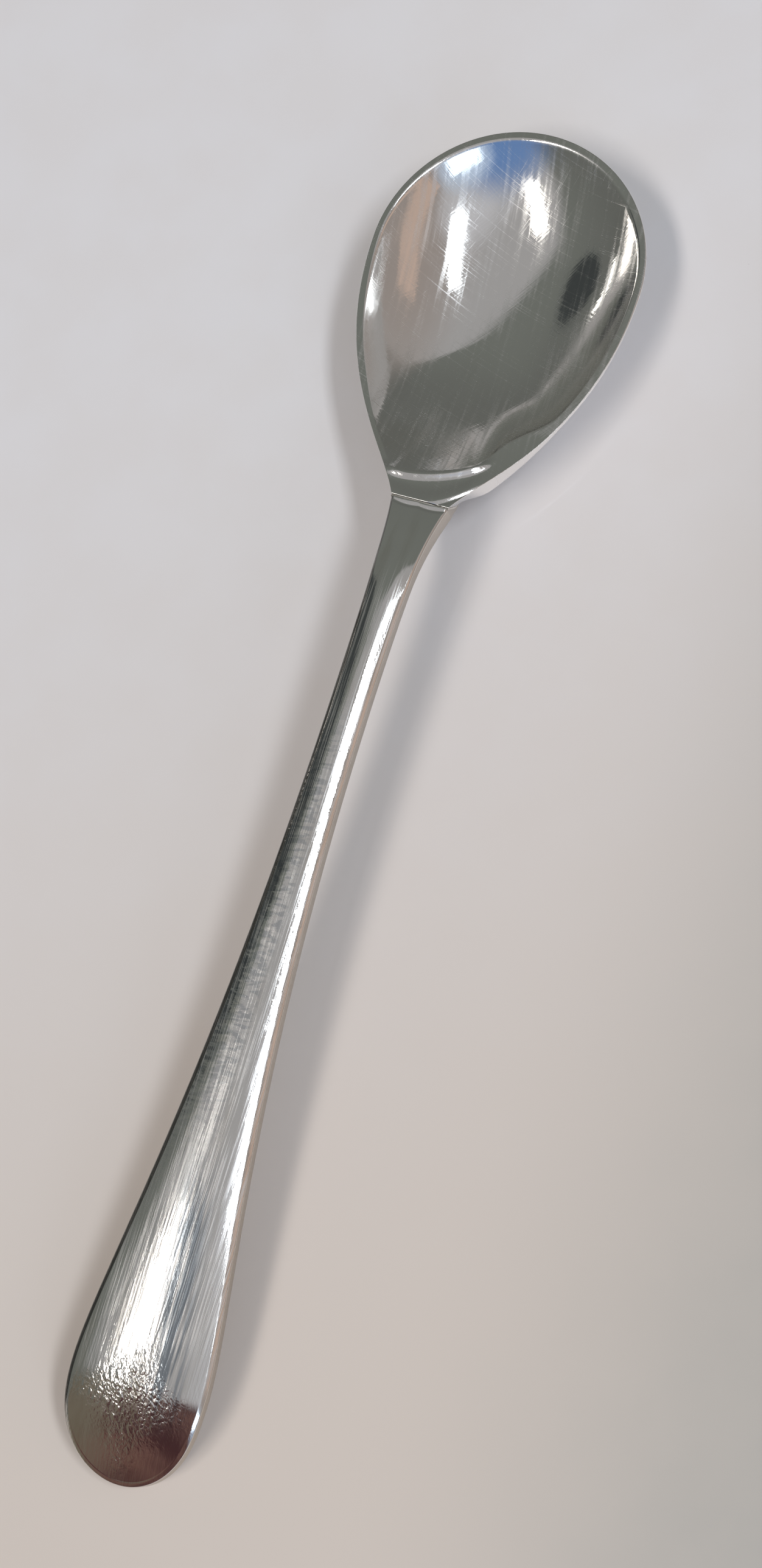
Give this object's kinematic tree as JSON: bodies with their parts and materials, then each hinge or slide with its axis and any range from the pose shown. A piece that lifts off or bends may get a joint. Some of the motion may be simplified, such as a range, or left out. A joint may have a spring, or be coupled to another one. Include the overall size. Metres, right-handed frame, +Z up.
{
  "type": "salt spoon",
  "caption": "Small silver salt spoon with an egg-shaped bowl, a slim arched stem with a drop under the bowl, and a broad rounded end that turns down.",
  "frame": {"origin": "middle of the spoon's length and width, on the surface it lies on", "axes": "+X along the spoon from the end of the handle to the tip of the bowl, +Y across it, +Z up out of the hollow of the bowl"},
  "size_m": [0.098, 0.0198, 0.0088],
  "materials": {
    "silver": "polished silver, worn and finely scratched",
    "silver_solder": "filed and polished flush, a little duller than the silver"
  },
  "bodies": {
    "root": {"bowl": "silver", "stem": "silver", "solder_seam": "silver_solder"}
  },
  "joints": []
}
